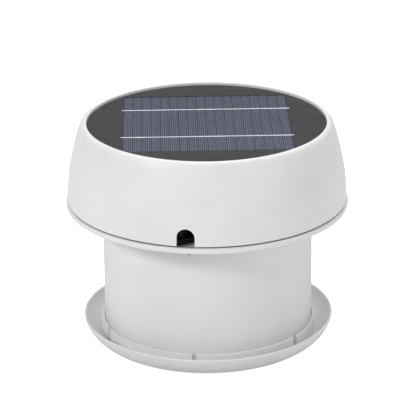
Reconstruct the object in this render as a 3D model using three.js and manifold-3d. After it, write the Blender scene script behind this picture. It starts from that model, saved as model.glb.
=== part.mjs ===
// Solar roof ventilator: hood with a round solar panel, axial fan, roof flange, duct and ceiling trim ring.
// Millimetres, +Z up, origin under the middle of the duct's lower end. The hood's notch faces -Y.

import * as THREE from "three";
import { mergeVertices } from "three/addons/utils/BufferGeometryUtils.js";
import Module from "manifold-3d";

const wasm = await Module();
wasm.setup();

// Shared
const roundSegments = 48;
const smallSegments = 12;
const cornerSteps = 3;
const touchGap = 0.3;
const overcut = 1;
const degree = Math.PI / 180;
const quarterTurn = 90 * degree;

// Duct
const ductRadius = 80;
const ductWall = 2;
const ductTop = 105.5;

// Base plate: roof flange and spigot
const flangeRadius = 107.3;
const flangeBottom = 105.6;
const flangeFloor = 108;
const flangeTop = 110;
const flangeRimInner = 105.4;
const flangeFloorRadius = 98.6;
const flangeLowerRound = 1.8;
const flangeUpperRound = 0.8;
const ductSeatDepth = 0.4;
const spigotRadius = ductRadius - ductWall - touchGap;
const spigotWall = 2;
const spigotBottom = 85.6;
const airwayRadius = 67;

// Hood
const hoodBottom = 110.8;
const hoodTop = 171.5;
const hoodFootRadius = 105.4;
const hoodFootRound = 0.5;
const panelSeatRadius = 90.6;
const lipRadius = 90.9;
const lipChamfer = 0.3;
const lipDepth = 1;
const panelSeatZ = 166.2;
const ceilingUnderside = 163.6;
const hoodOuter = [
  [106.2, hoodBottom + hoodFootRound],
  [106.1, 116],
  [105.7, 124],
  [104.7, 133],
  [103.0, 142],
  [101.0, 151],
  [98.9, 159],
  [97.2, 165],
  [96.1, 167.9],
  [94.9, 169.9],
  [93.4, 171.1],
  [91.9, hoodTop],
];
const hoodInner = [
  [103.7, hoodBottom],
  [103.2, 124],
  [102.2, 133],
  [98.5, 151],
  [96.4, 159],
  [93.0, ceilingUnderside],
];
const notchWidth = 13.4;
const notchHeight = 13.6;
const notchSideDrop = 2;
const notchCutInner = 100;
const postRadius = 4.5;
const postPilotRadius = 1.6;
const postPilotDepth = 15;
const ribThickness = 2;
const ribLength = 16;
const ribOffset = 10;
const ribBottom = 128;

// Solar panel stack
const boardRadius = 90.3;
const boardBottom = 167;
const boardTop = 169.5;
const filmTop = 170.1;
const cellSize = 125;
const cellPocketDepth = 0.8;
const cellThickness = 0.35;
const cellStrips = 18;
const cellGrooveWidth = 0.7;
const cellGrooveDepth = 0.12;
const ribbonOffset = 31;
const ribbonWidth = 1.4;
const ribbonThickness = 0.12;
const ribbonOverhang = 2;
const panelTurn = 9.9 * degree;
const tapeOuter = 89;
const tapeInner = 80;
const leadRadius = 1.4;
const leadHoleRadius = 2.2;
const flatGap = 0.15;

// Junction box under the panel
const boxLength = 42;
const boxDepth = 32;
const boxBottom = 152;
const boxTop = 166.6;
const boxWall = 2;
const boxCorner = 3;

// Fan
const fanSize = 140;
const fanCorner = 3;
const fanBottom = flangeFloor + touchGap;
const fanHeight = 25;
const fanTop = fanBottom + fanHeight;
const fanFlange = 4;
const fanBore = 67;
const fanShroudRadius = 69.5;
const fanTurn = -4.5 * degree;
const fanPostRadius = 5;
const strutWidth = 6;
const strutHeight = 3;
const motorPlateRadius = 24;
const hubRadius = 23;
const hubWall = 1.7;
const hubBottom = 111.1;
const hubTop = 128.6;
const bladeCount = 7;
const bladeTip = 65.3;
const bladeRoot = 22.2;
const bladeThickness = 1.6;
const bladeMiddle = 118.1;
const bladeChordRoot = 24;
const bladeChordTip = 46;
const bladePitchRoot = 43 * degree;
const bladePitchTip = 22 * degree;
const bladeCamber = 3.2;
const bladeSweep = 12 * degree;
const bladeAlongSteps = 6;
const bladeChordSteps = 4;
const shaftRadius = 1.5;
const bearingRadius = 3;
const bearingTubeRadius = 5;
const motorCoreRadius = 18.6;
const motorCoreBottom = 117.1;
const motorCoreTop = 125.1;
const motorSlotWidth = 3;
const motorSlotLength = 12;
const bearingBottom = 116.6;
const bearingTop = 129.1;
const circuitBoardBottom = 126.1;
const circuitBoardTop = 127.5;
const magnetOuter = 21;
const magnetInner = 19.4;
const magnetBottom = 115.1;
const magnetTop = 126.1;
const runningGap = 0.08;
const hubRound = 2;
const hubFloor = 3;
const hubBossRadius = 3.7;
const hubBossTop = 4.5;
const hubBlindFloor = 1.2;

// Finger guard in the spigot
const guardBottom = 86;
const guardHeight = 4;
const guardRingHeight = 2;
const guardCentreHeight = 3;
const guardTurn = 9 * degree;
const guardRimInner = 72.6;
const guardRings = [60, 48, 36, 24];
const guardRingWidth = 2.2;
const guardSpokes = 8;
const guardSegments = 24;
const guardSpokeWidth = 2.4;
const guardSpokeInset = 0.5;
const guardCentreRadius = 12;

// Ceiling trim ring
const trimBottom = 0.3;
const collarInner = ductRadius + touchGap;
const collarOuter = 82.5;
const collarTop = 14.8;
const collarChamfer = 0.4;
const slotWidth = 4;
const slotDepth = 8;
const slotFloor = 3.2;
const slotCount = 6;
const trimTurn = 1.5 * degree;

// Screws
const screwCircle = 88;
const screwHeadRadius = 3.2;
const screwHeadHeight = 1.7;
const screwRim = 0.3;
const screwRecess = 0.1;
const screwShankRadius = 1.5;
const hoodScrewLength = 14;
const fanScrewLength = 12;
const crossWidth = 0.9;
const crossLength = 3.4;
const crossDepth = 1.1;
const tubeScrewHeight = 96.9;
const tubeScrewTurn = -1 * degree;
const tubeScrewHeadRadius = 2.6;
const tubeScrewHeadHeight = 1.9;
const tubeScrewShank = 1.3;
const tubeScrewLength = 8;
const tubeScrewTip = 1;
const screwHoleClearance = 0.4;

const looks = {
  hoodWhite: { color: 0xe9e9e9, roughness: 0.42, metalness: 0 },
  ductWhite: { color: 0xe2e2e2, roughness: 0.5, metalness: 0 },
  trimWhite: { color: 0xe6e6e6, roughness: 0.45, metalness: 0 },
  panelCharcoal: { color: 0x4b4b4c, roughness: 0.6, metalness: 0 },
  siliconBlue: { color: 0x3a4470, roughness: 0.35, metalness: 0.1 },
  tinnedCopper: { color: 0xc9c9cf, roughness: 0.35, metalness: 0.9 },
  clearFilm: { color: 0xdfe3ea, roughness: 0.4, metalness: 0 },
  foamTape: { color: 0x26272a, roughness: 0.9, metalness: 0 },
  boxBlack: { color: 0x1d1e20, roughness: 0.5, metalness: 0 },
  cableBlack: { color: 0x151517, roughness: 0.5, metalness: 0 },
  fanBlack: { color: 0x18191b, roughness: 0.45, metalness: 0 },
  steel: { color: 0xb9bcc0, roughness: 0.3, metalness: 1 },
  bronze: { color: 0xa67a45, roughness: 0.4, metalness: 1 },
  boardGreen: { color: 0x1f5a38, roughness: 0.5, metalness: 0 },
  copperWinding: { color: 0xa8623a, roughness: 0.4, metalness: 0.8 },
  ferrite: { color: 0x3a3a3d, roughness: 0.7, metalness: 0.2 },
};

const assembly = new THREE.Group();
assembly.name = "solar_attic_fan";

function toSolid(geometry) {
  const plain = geometry.index ? geometry.toNonIndexed() : geometry.clone();
  plain.deleteAttribute("normal");
  plain.deleteAttribute("uv");
  const merged = mergeVertices(plain, 1e-4);
  const points = merged.attributes.position;
  const index = Uint32Array.from(merged.index.array);
  const [a, b, c] = [new THREE.Vector3(), new THREE.Vector3(), new THREE.Vector3()];
  let volume = 0;
  for (let i = 0; i < index.length; i += 3) {
    a.fromBufferAttribute(points, index[i]);
    b.fromBufferAttribute(points, index[i + 1]);
    c.fromBufferAttribute(points, index[i + 2]);
    volume += a.dot(b.cross(c));
  }
  if (volume < 0) {
    for (let i = 0; i < index.length; i += 3) {
      [index[i + 1], index[i + 2]] = [index[i + 2], index[i + 1]];
    }
  }
  const mesh = new wasm.Mesh({
    numProp: 3,
    vertProperties: Float32Array.from(points.array),
    triVerts: index,
  });
  return new wasm.Manifold(mesh);
}

function addPiece(name, look, solid) {
  const mesh = solid.getMesh();
  const geometry = new THREE.BufferGeometry();
  geometry.setAttribute("position", new THREE.BufferAttribute(mesh.vertProperties, 3));
  geometry.setIndex(new THREE.BufferAttribute(mesh.triVerts, 1));
  geometry.computeVertexNormals();
  const piece = new THREE.Mesh(geometry, new THREE.MeshStandardMaterial(looks[look]));
  piece.name = name;
  assembly.add(piece);
}

// A closed profile of [radius, height] pairs turned about Z.
function turned(profile, segments = roundSegments) {
  const points = profile.map(([radius, height]) => new THREE.Vector2(radius, height));
  if (profile[0][0] > 0) {
    points.push(points[0].clone());
  }
  return toSolid(new THREE.LatheGeometry(points, segments).rotateX(Math.PI / 2));
}

function ring(outer, inner, bottom, top, segments = roundSegments) {
  return turned([[inner, bottom], [outer, bottom], [outer, top], [inner, top]], segments);
}

function cylinder(radius, bottom, top, segments = smallSegments) {
  const height = top - bottom;
  const geometry = new THREE.CylinderGeometry(radius, radius, height, segments);
  return toSolid(geometry.rotateX(Math.PI / 2).translate(0, 0, bottom + height / 2));
}

function box(sizeX, sizeY, bottom, top) {
  const height = top - bottom;
  return toSolid(new THREE.BoxGeometry(sizeX, sizeY, height).translate(0, 0, bottom + height / 2));
}

function roundedSlab(sizeX, sizeY, corner, bottom, top) {
  const [x, y] = [sizeX / 2, sizeY / 2];
  const outline = new THREE.Shape();
  outline.absarc(x - corner, y - corner, corner, 0, quarterTurn);
  outline.absarc(corner - x, y - corner, corner, quarterTurn, 2 * quarterTurn);
  outline.absarc(corner - x, corner - y, corner, 2 * quarterTurn, 3 * quarterTurn);
  outline.absarc(x - corner, corner - y, corner, 3 * quarterTurn, 4 * quarterTurn);
  const options = { depth: top - bottom, bevelEnabled: false, curveSegments: 4 };
  return toSolid(new THREE.ExtrudeGeometry(outline, options).translate(0, 0, bottom));
}

// Turned about Z from the front (-Y), counter-clockwise seen from above.
function aboutZ(solid, angle) {
  return solid.rotate([0, 0, angle / degree]);
}

function atFront(solid, radius, angle) {
  return aboutZ(solid.translate([0, -radius, 0]), angle);
}

function joined(solids) {
  return solids.reduce((sum, next) => sum.add(next));
}

// Angles of the four fan corners, and of the four hood posts half way between them.
const cornerAngles = [0, 1, 2, 3].map((step) => fanTurn + step * quarterTurn);
const postAngles = cornerAngles.map((angle) => angle + quarterTurn / 2);

function buildHood() {
  const lip = [
    [lipRadius, hoodTop - lipChamfer],
    [panelSeatRadius, hoodTop - lipDepth],
    [panelSeatRadius, panelSeatZ],
    [0, panelSeatZ],
    [0, ceilingUnderside],
  ];
  const foot = [hoodFootRadius, hoodBottom];
  const profile = [...lip, ...hoodInner.toReversed(), foot, ...hoodOuter];
  // The profile is closed along the axis, so it starts and ends there.
  const start = profile.findIndex(([radius]) => radius === 0);
  const onAxis = [...profile.slice(start + 1), ...profile.slice(0, start + 1)];
  let hood = turned(onAxis);
  const postFoot = flangeFloor + touchGap;
  const filled = turned([[0, postFoot], [hoodInner[0][0], postFoot], ...hoodOuter, [0, hoodTop]]);
  const posts = postAngles.map((angle) => {
    const post = cylinder(postRadius, postFoot, ceilingUnderside + overcut);
    const rib = box(ribThickness, ribLength, ribBottom, ceilingUnderside + overcut);
    return atFront(post.add(rib.translate([0, -ribOffset, 0])), screwCircle, angle);
  });
  hood = hood.add(joined(posts).intersect(filled));
  const pilots = postAngles.map((angle) => {
    const pilot = cylinder(postPilotRadius, flangeFloor, flangeFloor + postPilotDepth);
    return atFront(pilot, screwCircle, angle);
  });
  hood = hood.subtract(joined(pilots));
  const holeTop = panelSeatZ + overcut;
  const boxHole = roundedSlab(boxLength + 1, boxDepth + 1, boxCorner, ceilingUnderside - overcut, holeTop);
  return hood.subtract(aboutZ(boxHole, panelTurn)).subtract(buildNotch());
}

function buildNotch() {
  const half = notchWidth / 2;
  const arch = new THREE.Shape();
  arch.moveTo(half, -notchSideDrop);
  arch.lineTo(half, notchHeight - half);
  arch.absarc(0, notchHeight - half, half, 0, Math.PI);
  arch.lineTo(-half, -notchSideDrop);
  arch.closePath();
  const depth = flangeRadius - notchCutInner;
  const geometry = new THREE.ExtrudeGeometry(arch, { depth, bevelEnabled: false, curveSegments: 12 });
  return toSolid(geometry.rotateX(Math.PI / 2).translate(0, -notchCutInner, hoodBottom));
}

function buildPanel() {
  const pocketFloor = boardTop - cellPocketDepth;
  const board = cylinder(boardRadius, boardBottom, boardTop, roundSegments);
  const pocketSize = cellSize + 2 * touchGap;
  const pocket = box(pocketSize, pocketSize, pocketFloor, boardTop + overcut);
  const ribbonLength = cellSize + 2 * ribbonOverhang;
  const bedLength = ribbonLength + 2 * touchGap;
  const bedWidth = ribbonWidth + 2 * touchGap;
  const bedFloor = boardTop - ribbonThickness - 2 * flatGap;
  const beds = [-ribbonOffset, ribbonOffset].map((y) => {
    return box(bedLength, bedWidth, bedFloor, boardTop + overcut).translate([0, y, 0]);
  });
  const leadHole = cylinder(leadHoleRadius, boardBottom - overcut, boardTop);
  const bareBoard = board.subtract(joined([pocket, leadHole, ...beds]));
  addPiece("panel_board", "panelCharcoal", aboutZ(bareBoard, panelTurn));

  const cellBottom = pocketFloor + flatGap;
  const cellTop = cellBottom + cellThickness;
  const grooves = [];
  for (let i = 1; i < cellStrips; i += 1) {
    const x = (i / cellStrips - 0.5) * cellSize;
    const groove = box(cellGrooveWidth, cellSize + overcut, cellTop - cellGrooveDepth, cellTop + overcut);
    grooves.push(groove.translate([x, 0, 0]));
  }
  const cells = box(cellSize, cellSize, cellBottom, cellTop).subtract(joined(grooves));
  addPiece("cell_array", "siliconBlue", aboutZ(cells, panelTurn));

  const ribbonBottom = cellTop + ribbonThickness / 2;
  const ribbon = box(ribbonLength, ribbonWidth, ribbonBottom, ribbonBottom + ribbonThickness);
  addPiece("ribbon_front", "tinnedCopper", aboutZ(ribbon.translate([0, -ribbonOffset, 0]), panelTurn));
  addPiece("ribbon_back", "tinnedCopper", aboutZ(ribbon.translate([0, ribbonOffset, 0]), panelTurn));

  addPiece("panel_film", "clearFilm", cylinder(boardRadius, boardTop + flatGap, filmTop, roundSegments));

  const tape = ring(tapeOuter, tapeInner, panelSeatZ + flatGap, boardBottom - flatGap);
  addPiece("panel_tape", "foamTape", tape);
}

function buildJunctionBox() {
  const shell = roundedSlab(boxLength, boxDepth, boxCorner, boxBottom, boxTop);
  const innerLength = boxLength - 2 * boxWall;
  const innerDepth = boxDepth - 2 * boxWall;
  const inside = roundedSlab(innerLength, innerDepth, boxCorner / 2, boxBottom + boxWall, boxTop + overcut);
  return aboutZ(shell.subtract(inside), panelTurn);
}

// A rounded outer corner of a turned profile, as a quarter circle starting at the given angle.
function cornerArc(radius, height, size, start) {
  const centreHeight = start < 0 ? height + size : height - size;
  const points = [];
  for (let i = 0; i <= cornerSteps; i += 1) {
    const angle = start + (i / cornerSteps) * quarterTurn;
    points.push([radius - size + size * Math.cos(angle), centreHeight + size * Math.sin(angle)]);
  }
  return points;
}

function buildFlange() {
  const body = turned([
    [airwayRadius, flangeBottom],
    [spigotRadius - spigotWall, flangeBottom],
    [spigotRadius - spigotWall, spigotBottom],
    [spigotRadius, spigotBottom],
    [spigotRadius, flangeBottom + ductSeatDepth],
    [ductRadius + touchGap, flangeBottom + ductSeatDepth],
    [ductRadius + touchGap, flangeBottom],
    ...cornerArc(flangeRadius, flangeBottom, flangeLowerRound, -quarterTurn),
    ...cornerArc(flangeRadius, flangeTop, flangeUpperRound, 0),
    [flangeRimInner, flangeTop],
    [flangeFloorRadius, flangeFloor],
    [airwayRadius, flangeFloor],
  ]);
  const screwHoles = [...cornerAngles, ...postAngles].map((angle) => {
    const holeBottom = flangeBottom - overcut;
    const hole = cylinder(screwShankRadius + screwHoleClearance, holeBottom, flangeFloor + overcut);
    const mouthTop = flangeBottom + screwRim + screwHoleClearance;
    const mouth = cylinder(screwHeadRadius + screwHoleClearance, holeBottom, mouthTop);
    const cone = countersunkHead(screwHeadRadius + screwHoleClearance, flangeBottom + screwHoleClearance);
    return atFront(joined([hole, mouth, cone]), screwCircle, angle);
  });
  return body.subtract(joined(screwHoles)).subtract(joined(tubeScrewHoles()));
}

function countersunkHead(radius, bottom) {
  return turned([
    [0, bottom],
    [radius, bottom],
    [radius, bottom + screwRim],
    [screwShankRadius, bottom + screwHeadHeight],
    [0, bottom + screwHeadHeight],
  ], smallSegments);
}

function crossRecess(bottom) {
  const bar = box(crossLength, crossWidth, bottom - overcut, bottom + crossDepth);
  return bar.add(bar.rotate([0, 0, 90]));
}

function buildFlangeScrew(length) {
  const bottom = flangeBottom + screwRecess;
  const shank = cylinder(screwShankRadius, bottom + screwRim, bottom + length);
  return countersunkHead(screwHeadRadius, bottom).add(shank).subtract(crossRecess(bottom));
}

// Lies along +Y from the duct's wall inwards; the head's outer face is towards -Y.
function buildTubeScrew() {
  const headBack = -(ductRadius + touchGap);
  const headFront = headBack - tubeScrewHeadHeight;
  const profile = [];
  for (let i = 0; i <= cornerSteps; i += 1) {
    const angle = (i / cornerSteps) * quarterTurn;
    profile.push([tubeScrewHeadRadius * Math.sin(angle), tubeScrewHeadHeight * (1 - Math.cos(angle))]);
  }
  const shankEnd = tubeScrewHeadHeight + tubeScrewLength;
  profile.push([tubeScrewShank, tubeScrewHeadHeight], [tubeScrewShank, shankEnd]);
  profile.push([0, shankEnd + tubeScrewTip]);
  const screw = turned(profile, smallSegments).subtract(crossRecess(0));
  return screw.rotate([-90, 0, 0]).translate([0, headFront, tubeScrewHeight]);
}

function tubeScrewHoles() {
  const reach = ductWall + spigotWall + 2 * overcut;
  const lying = cylinder(tubeScrewShank + screwHoleClearance, -reach, reach).rotate([90, 0, 0]);
  const hole = lying.translate([0, 0, tubeScrewHeight]);
  return [0, 1, 2, 3].map((step) => {
    return atFront(hole, ductRadius - ductWall, tubeScrewTurn + step * quarterTurn);
  });
}

function buildDuct() {
  const tube = ring(ductRadius, ductRadius - ductWall, 0, ductTop);
  return tube.subtract(joined(tubeScrewHoles()));
}

function buildGuard() {
  const top = guardBottom + guardHeight;
  const rings = guardRings.map((radius) => {
    const half = guardRingWidth / 2;
    return ring(radius + half, radius - half, guardBottom, guardBottom + guardRingHeight, guardSegments);
  });
  const rim = ring(spigotRadius - spigotWall - touchGap, guardRimInner, guardBottom, top);
  const middle = (guardCentreRadius + guardRimInner) / 2;
  const length = guardRimInner - guardCentreRadius + 2 * overcut;
  const spokes = [];
  for (let i = 0; i < guardSpokes; i += 1) {
    const spoke = box(guardSpokeWidth, length, guardBottom + guardSpokeInset, top - guardSpokeInset);
    spokes.push(atFront(spoke, middle, guardTurn + (i * 4 * quarterTurn) / guardSpokes));
  }
  const centre = cylinder(guardCentreRadius, guardBottom, guardBottom + guardCentreHeight, guardSegments);
  return joined([rim, centre, ...rings, ...spokes]);
}

function buildFanFrame() {
  const slabs = [
    roundedSlab(fanSize, fanSize, fanCorner, fanBottom, fanBottom + fanFlange),
    roundedSlab(fanSize, fanSize, fanCorner, fanTop - fanFlange, fanTop),
  ].map((slab) => slab.rotate([0, 0, 45]));
  const shroud = cylinder(fanShroudRadius, fanBottom, fanTop, roundSegments);
  const corners = [0, 1, 2, 3].map((step) => {
    const post = cylinder(fanPostRadius, fanBottom, fanTop);
    return atFront(post, screwCircle, step * quarterTurn);
  });
  const body = joined([...slabs, shroud, ...corners]);
  const bore = cylinder(fanBore, fanBottom - overcut, fanTop + overcut, roundSegments);
  const holes = [0, 1, 2, 3].map((step) => {
    const hole = cylinder(screwShankRadius + touchGap, fanBottom - overcut, fanTop + overcut);
    return atFront(hole, screwCircle, step * quarterTurn);
  });
  const frame = body.subtract(joined([bore, ...holes]));

  const strutBottom = fanTop - strutHeight;
  const struts = [0, 1, 2, 3].map((step) => {
    const length = fanBore - motorPlateRadius + 2 * overcut;
    const strut = box(strutWidth, length, strutBottom, fanTop);
    return atFront(strut, (motorPlateRadius + fanBore) / 2, (step + 0.5) * quarterTurn);
  });
  const motorPlate = cylinder(motorPlateRadius, strutBottom, fanTop, roundSegments / 2);
  const bearingTube = cylinder(bearingTubeRadius, bearingBottom, strutBottom + overcut);
  const wireHole = box(2 * leadHoleRadius, 3 * leadHoleRadius, strutBottom - overcut, fanTop + overcut);
  const tubeBore = cylinder(bearingRadius + runningGap, bearingBottom - overcut, bearingTop + touchGap);
  const motorMount = motorPlate.add(bearingTube).subtract(tubeBore);
  const wireSlot = atFront(wireHole, motorCoreRadius - 2, quarterTurn / 2);
  return aboutZ(joined([frame, ...struts, motorMount]).subtract(wireSlot), fanTurn);
}

// A thin box bent into a twisted, swept fan blade. Its leading edge is the lower one.
function buildBlade() {
  const geometry = new THREE.BoxGeometry(1, 1, 1, bladeAlongSteps, bladeChordSteps, 1);
  const points = geometry.attributes.position;
  for (let i = 0; i < points.count; i += 1) {
    const along = points.getX(i) + 0.5;
    const across = points.getY(i);
    const side = points.getZ(i);
    const radius = bladeRoot + along * (bladeTip - bladeRoot);
    const chord = bladeChordRoot + along * (bladeChordTip - bladeChordRoot);
    const pitch = bladePitchRoot + along * (bladePitchTip - bladePitchRoot);
    const thickness = bladeThickness * (1 - Math.abs(across));
    const bulge = bladeCamber * (1 - 4 * across * across) + side * thickness;
    const forward = across * chord * Math.cos(pitch) + bulge * Math.sin(pitch);
    const lift = -across * chord * Math.sin(pitch) + bulge * Math.cos(pitch);
    const turn = forward / radius + bladeSweep * along * along;
    points.setXYZ(i, radius * Math.sin(turn), -radius * Math.cos(turn), bladeMiddle + lift);
  }
  return toSolid(geometry);
}

function buildRotor() {
  const hub = turned([
    [0, hubBottom],
    [hubRadius - hubRound, hubBottom],
    [hubRadius, hubBottom + hubRound],
    [hubRadius, hubTop],
    [hubRadius - hubWall, hubTop],
    [hubRadius - hubWall, hubBottom + hubFloor],
    [hubBossRadius, hubBottom + hubFloor],
    [hubBossRadius, hubBottom + hubBossTop],
    [shaftRadius + runningGap, hubBottom + hubBossTop],
    [shaftRadius + runningGap, hubBottom + hubBlindFloor],
    [0, hubBottom + hubBlindFloor],
  ], roundSegments / 2);
  const blades = [];
  for (let i = 0; i < bladeCount; i += 1) {
    blades.push(aboutZ(buildBlade(), (i * 4 * quarterTurn) / bladeCount));
  }
  return joined([hub, ...blades]);
}

function buildStator() {
  const [slotBottom, slotTop] = [motorCoreBottom - overcut, motorCoreTop + overcut];
  const core = cylinder(motorCoreRadius, motorCoreBottom, motorCoreTop, roundSegments / 2);
  const slots = [0, 1, 2, 3].map((step) => {
    const slot = box(motorSlotWidth, motorSlotLength, slotBottom, slotTop);
    return atFront(slot, motorCoreRadius - motorSlotWidth, step * quarterTurn);
  });
  const bore = cylinder(bearingTubeRadius + touchGap, slotBottom, slotTop);
  return core.subtract(joined([bore, ...slots]));
}

function buildBearing() {
  return ring(bearingRadius, shaftRadius + runningGap, bearingBottom, bearingTop, smallSegments);
}

function buildCircuitBoard() {
  const inner = bearingTubeRadius + touchGap;
  return ring(motorCoreRadius, inner, circuitBoardBottom, circuitBoardTop, roundSegments / 2);
}

// From the junction box down to a fan strut, along it, and through the motor plate to the circuit board.
function buildLead() {
  const along = fanTurn + quarterTurn / 2;
  const onStrut = fanTop + touchGap + leadRadius;
  const route = [
    [20.4, 158],
    [32, 158.4],
    [48, 155],
    [56, 147],
    [54, 139],
    [46, onStrut + 0.4],
    [34, onStrut],
    [24, onStrut + 0.2],
    [18, onStrut - 0.8],
    [15.8, 131.6],
    [15.6, 128.3],
  ].map(([radius, height]) => {
    return new THREE.Vector3(radius * Math.sin(along), -radius * Math.cos(along), height);
  });
  const section = new THREE.Shape();
  section.absarc(0, 0, leadRadius, 0, 2 * Math.PI);
  const path = new THREE.CatmullRomCurve3(route);
  const geometry = new THREE.ExtrudeGeometry(section, { steps: 22, curveSegments: 4, extrudePath: path });
  return toSolid(geometry);
}

function buildTrimRing() {
  const profile = [
    [collarInner, trimBottom],
    [82.8, trimBottom],
    [86.2, 1.8],
    [89.8, 4.6],
    [92.9, 8.2],
    [95.1, 12.2],
    [96.2, 15.6],
    [95.9, 16.4],
    [94.7, 16.4],
    [94.2, 15.6],
    [93, 12.4],
    [90.8, 9],
    [87.8, 6],
    [84.8, 3.8],
    [collarOuter, slotFloor],
    [collarOuter, collarTop - collarChamfer],
    [collarOuter - collarChamfer, collarTop],
    [collarInner, collarTop],
  ];
  const slots = [];
  for (let i = 0; i < slotCount; i += 1) {
    const slot = box(slotWidth, slotDepth, slotFloor + touchGap, collarTop + overcut);
    slots.push(atFront(slot, collarInner, (i * 4 * quarterTurn) / slotCount));
  }
  return aboutZ(turned(profile).subtract(joined(slots)), trimTurn);
}

addPiece("hood", "hoodWhite", buildHood());
buildPanel();
addPiece("junction_box", "boxBlack", buildJunctionBox());
addPiece("fan_lead", "cableBlack", buildLead());
addPiece("base_plate", "hoodWhite", buildFlange());
addPiece("duct_tube", "ductWhite", buildDuct());
addPiece("finger_guard", "fanBlack", buildGuard());
addPiece("fan_frame", "fanBlack", buildFanFrame());
addPiece("fan_bearing", "bronze", buildBearing());
addPiece("fan_stator", "copperWinding", buildStator());
addPiece("fan_circuit_board", "boardGreen", buildCircuitBoard());
addPiece("fan_rotor", "fanBlack", buildRotor());
addPiece("fan_shaft", "steel", cylinder(shaftRadius, hubBottom + hubBlindFloor + touchGap, bearingTop));
const magnet = ring(magnetOuter, magnetInner, magnetBottom, magnetTop, roundSegments / 2);
addPiece("magnet_ring", "ferrite", magnet);
addPiece("trim_ring", "trimWhite", buildTrimRing());
postAngles.forEach((angle, i) => {
  addPiece(`hood_screw_${i + 1}`, "steel", atFront(buildFlangeScrew(hoodScrewLength), screwCircle, angle));
});
cornerAngles.forEach((angle, i) => {
  addPiece(`fan_screw_${i + 1}`, "steel", atFront(buildFlangeScrew(fanScrewLength), screwCircle, angle));
});
for (let i = 0; i < 4; i += 1) {
  addPiece(`tube_screw_${i + 1}`, "steel", aboutZ(buildTubeScrew(), tubeScrewTurn + i * quarterTurn));
}

export default assembly;
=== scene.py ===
import math

import bmesh
import bpy
from mathutils import Matrix, Quaternion, Vector


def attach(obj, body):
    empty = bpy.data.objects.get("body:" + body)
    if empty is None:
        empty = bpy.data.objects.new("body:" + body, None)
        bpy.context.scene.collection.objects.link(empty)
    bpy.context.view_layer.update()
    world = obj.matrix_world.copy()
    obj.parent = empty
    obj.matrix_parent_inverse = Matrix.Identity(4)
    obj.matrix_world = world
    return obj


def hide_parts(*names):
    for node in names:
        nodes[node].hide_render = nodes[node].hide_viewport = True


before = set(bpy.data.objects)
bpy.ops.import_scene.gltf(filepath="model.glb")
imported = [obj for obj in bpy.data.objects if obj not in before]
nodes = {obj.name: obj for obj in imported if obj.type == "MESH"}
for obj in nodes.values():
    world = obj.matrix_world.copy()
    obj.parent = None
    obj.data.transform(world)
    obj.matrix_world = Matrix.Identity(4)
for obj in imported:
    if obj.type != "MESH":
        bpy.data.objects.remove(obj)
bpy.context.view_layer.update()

mm = 0.001
scene = bpy.context.scene


def linearColour(hexText):
    channels = [int(hexText[i:i + 2], 16) / 255 for i in (1, 3, 5)]
    return [c / 12.92 if c <= 0.04045 else ((c + 0.055) / 1.055) ** 2.4 for c in channels] + [1.0]


def addNode(tree, kind, values=None, links=None, **settings):
    made = tree.nodes.new(kind)
    for key, value in settings.items():
        setattr(made, key, value)
    for key, value in (values or {}).items():
        made.inputs[key].default_value = value
    for key, source in (links or {}).items():
        tree.links.new(source, made.inputs[key])
    return made


def newObject(name, mesh):
    made = bpy.data.objects.new(name, mesh)
    scene.collection.objects.link(made)
    return made


def dropObject(item):
    mesh = item.data
    bpy.data.objects.remove(item)
    if mesh.users == 0:
        bpy.data.meshes.remove(mesh)


def meshFrom(name, bm):
    bmesh.ops.remove_doubles(bm, verts=bm.verts, dist=1e-7)
    bmesh.ops.recalc_face_normals(bm, faces=bm.faces)
    mesh = bpy.data.meshes.new(name)
    bm.to_mesh(mesh)
    bm.free()
    return mesh


def smoothShade(mesh, angle=32):
    mesh.polygons.foreach_set("use_smooth", [True] * len(mesh.polygons))
    mesh.set_sharp_from_angle(angle=math.radians(angle))


# Every finished mesh goes through here: look, body and the CAD node it stands for.
def finishPiece(name, mesh, look, slot, body, *replaced):
    if look is not None:
        mesh.materials.clear()
        mesh.materials.append(look)
    smoothShade(mesh)
    piece = newObject(name, mesh)
    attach(piece, body)
    if replaced:
        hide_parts(*replaced)
    return piece


# Corners given as (radius, height, fillet) in millimetres become a smooth outline.
def filleted(corners, closed, steps=6):
    outline = []
    count = len(corners)
    for i, (r, z, fillet) in enumerate(corners):
        here = Vector((r, z))
        if fillet == 0 or (not closed and i in (0, count - 1)):
            outline.append(here)
            continue
        before = Vector(corners[i - 1][:2]) - here
        after = Vector(corners[(i + 1) % count][:2]) - here
        bend = before.angle(after)
        reach = min(fillet / math.tan(bend / 2), before.length * 0.48, after.length * 0.48)
        start = here + before.normalized() * reach
        end = here + after.normalized() * reach
        for k in range(steps + 1):
            t = k / steps
            outline.append(start * (1 - t) ** 2 + here * 2 * t * (1 - t) + end * t ** 2)
    return outline


# A gently curved run of points, for walls drawn through a few measured places.
def curved(points, steps=4):
    out = []
    for i in range(len(points) - 1):
        p0 = Vector(points[max(i - 1, 0)])
        p1, p2 = Vector(points[i]), Vector(points[i + 1])
        p3 = Vector(points[min(i + 2, len(points) - 1)])
        for k in range(steps):
            t = k / steps
            out.append(0.5 * (2 * p1 + (p2 - p0) * t + (2 * p0 - 5 * p1 + 4 * p2 - p3) * t * t
                              + (3 * p1 - p0 - 3 * p2 + p3) * t ** 3))
    out.append(Vector(points[-1]))
    return out


def latheInto(bm, outline, segments, closed):
    rings = []
    for point in outline:
        r, z = point[0] * mm, point[1] * mm
        if r < 1e-7:
            rings.append([bm.verts.new((0, 0, z))])
            continue
        rings.append([bm.verts.new((r * math.sin(a), -r * math.cos(a), z))
                      for a in (2 * math.pi * k / segments for k in range(segments))])
    pairs = list(zip(rings, rings[1:])) + ([(rings[-1], rings[0])] if closed else [])
    for low, high in pairs:
        for k in range(segments):
            n = (k + 1) % segments
            corners = [low[k % len(low)], low[n % len(low)], high[n % len(high)], high[k % len(high)]]
            unique = list(dict.fromkeys(corners))
            if len(unique) > 2:
                bm.faces.new(unique)


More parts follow.
